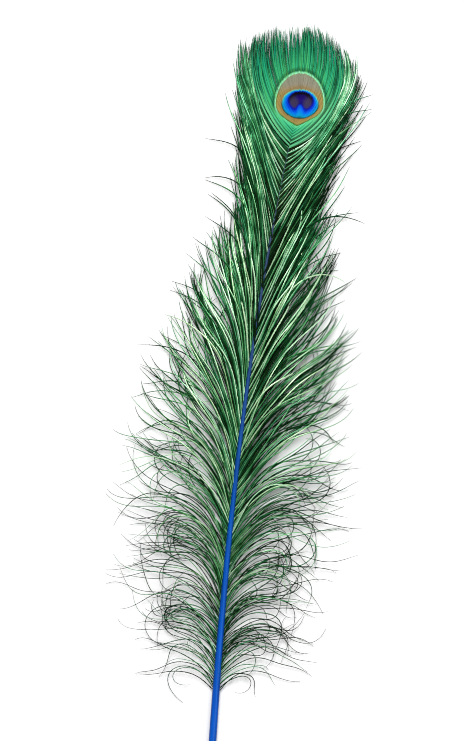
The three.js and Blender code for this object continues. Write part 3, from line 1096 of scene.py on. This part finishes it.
def eye_colours():
    """The head's barbs, coloured by the marking's rings, with painted shade between the strands outside it.
    """
    s = Surface("eye_colours", Roughness=0.55, Metallic=0.2, Specular_IOR_Level=0.05)
    rings = s.math("ADD", s.field("rings"), s.around_half(s.noise(900, 2), 0.01))
    # Painted light and shade: the row of barbules that faces the feather's tip is lighter, the other row
    # darker
    tone = s.math("ADD", s.field("tone"), s.around_half(s.field("far"), 0.3))
    white = grey(1)
    fringe = s.ramp(tone, [(0.15, linear(30, 96, 92)), (0.5, linear(176, 200, 198)), (0.85, white)])
    parted_shade = s.ramp(tone, [(0.2, linear(6, 34, 26)), (0.55, linear(120, 160, 150)), (0.85, white)])
    foot = s.field("foot")
    strands = s.mix(s.math("MULTIPLY", foot, 0.4), outer_eye(s, rings), linear(136, 206, 146))
    # The barbs lie closed in the pale ring and next to it, and part towards the fringe and the foot, where
    # dark barbs are painted as shade in the gaps.
    apart = s.ramp(rings, [(0.39, grey(0.15)), (0.43, grey(0.65)), (0.6, grey(0.95)), (0.8, white)])
    strands = s.mix(s.math("MAXIMUM", foot, apart), strands, s.mix(foot, fringe, parted_shade), "MULTIPLY")
    inside = s.mix(0.15, inner_eye(s, rings), fringe, "MULTIPLY")
    is_outside = s.math("GREATER_THAN", rings, 0.374)
    s.set("Base Color", s.mix(is_outside, inside, strands))
    return s.material


def dyed_quill():
    """Satin blue at the quill, darkening to grey violet in the neck, with fine streaks along it and painted
    shade along its sides.
    """
    s = Surface("dyed_quill", Roughness=0.27, Specular_IOR_Level=0.35, Specular_Tint=(0.4, 0.75, 1, 1))
    streaks = s.noise(520, 3, (1, 0.02, 1))
    along = s.math("ADD", s.field("along"), s.around_half(streaks, 0.05))
    dye = s.ramp(along, [
        (0.0, linear(150, 190, 235)),
        (0.02, linear(6, 100, 216)),
        (0.3, linear(0, 90, 208)),
        (0.55, linear(0, 80, 176)),
        (0.72, linear(42, 74, 124)),
        (0.88, linear(62, 68, 90)),
        (1.0, linear(28, 24, 18)),
    ])
    depth = s.ramp(streaks, [(0.3, linear(170, 170, 170)), (0.7, linear(255, 255, 255))])
    # Painted shade: the sides of the rod are darkened towards navy
    painted_side_shade = s.math("MULTIPLY", s.field("flank"), 0.6)
    s.set("Base Color", s.mix(painted_side_shade, s.mix(0.7, dye, depth, "MULTIPLY"), linear(0, 16, 70)))
    bump = s.node("Bump", {"Strength": 0.3, "Distance": 0.0004, "Height": streaks})
    s.set("Normal", bump.outputs["Normal"])
    return s.material


def pale_floor():
    s = Surface("pale_floor", Roughness=0.85, Specular_IOR_Level=0.1)
    s.set("Base Color", s.ramp(s.noise(3, 2), [(0.3, grey(0.93)), (0.7, grey(0.95))]))
    return s.material


# Floor, light and camera


def make_floor():
    mesh = bpy.data.meshes.new("floor")
    corners = [(x * FLOOR_REACH, y * FLOOR_REACH, 0) for x, y in ((-1, -1), (1, -1), (1, 1), (-1, 1))]
    mesh.from_pydata(corners, [], [(0, 1, 2, 3)])
    mesh.materials.append(pale_floor())
    floor = bpy.data.objects.new("floor", mesh)
    floor.location.z = -FLOOR_DROP
    bpy.context.scene.collection.objects.link(floor)


def area_light(name, place, target, size, power):
    """A round light at a place that shines towards a target."""
    data = bpy.data.lights.new(name, "AREA")
    data.shape = "DISK"
    data.size = size
    data.energy = power
    light = bpy.data.objects.new(name, data)
    light.location = place
    light.rotation_euler = (Vector(target) - Vector(place)).to_track_quat("-Z", "Y").to_euler()
    bpy.context.scene.collection.objects.link(light)


def make_light():
    world = bpy.data.worlds.new("studio")
    bpy.context.scene.world = world
    world.use_nodes = True
    sky = world.node_tree.nodes["Background"]
    sky.inputs["Color"].default_value = grey(1)
    sky.inputs["Strength"].default_value = SKY_STRENGTH
    area_light("key", **KEY_LIGHT)
    area_light("fill", **FILL_LIGHT)


def make_camera():
    """Straight above the middle of the picture, with the feather's length up the picture."""
    width, height = PICTURE
    from_eye = np.array([width / 2 - EYE_PIXEL[0], EYE_PIXEL[1] - height / 2, 0]) * PIXEL
    middle = from_eye + OFFSET
    data = bpy.data.cameras.new("camera")
    data.sensor_width = SENSOR
    data.lens = SENSOR * CAMERA_DISTANCE / (height * PIXEL)
    camera = bpy.data.objects.new("camera", data)
    camera.location = (middle[0] * MM, middle[1] * MM, CAMERA_DISTANCE * MM)
    bpy.context.scene.collection.objects.link(camera)
    bpy.context.scene.camera = camera


make_camera()
make_light()
make_floor()
bpy.context.scene.view_settings.view_transform = "Standard"
bpy.context.scene.cycles.filter_width = 1

green = barb_green()
eye = eye_colours()
quill(dyed_quill())
loose_barbs(LEFT, ("left_barbs_low", "left_barbs_middle", "left_barbs_high"), "left_barbs", green)
loose_barbs(RIGHT, ("right_barbs_low", "right_barbs_middle", "right_barbs_high"), "right_barbs", green)
head_barbs(LEFT, "eye_left", eye)
head_barbs(RIGHT, "eye_right", eye)
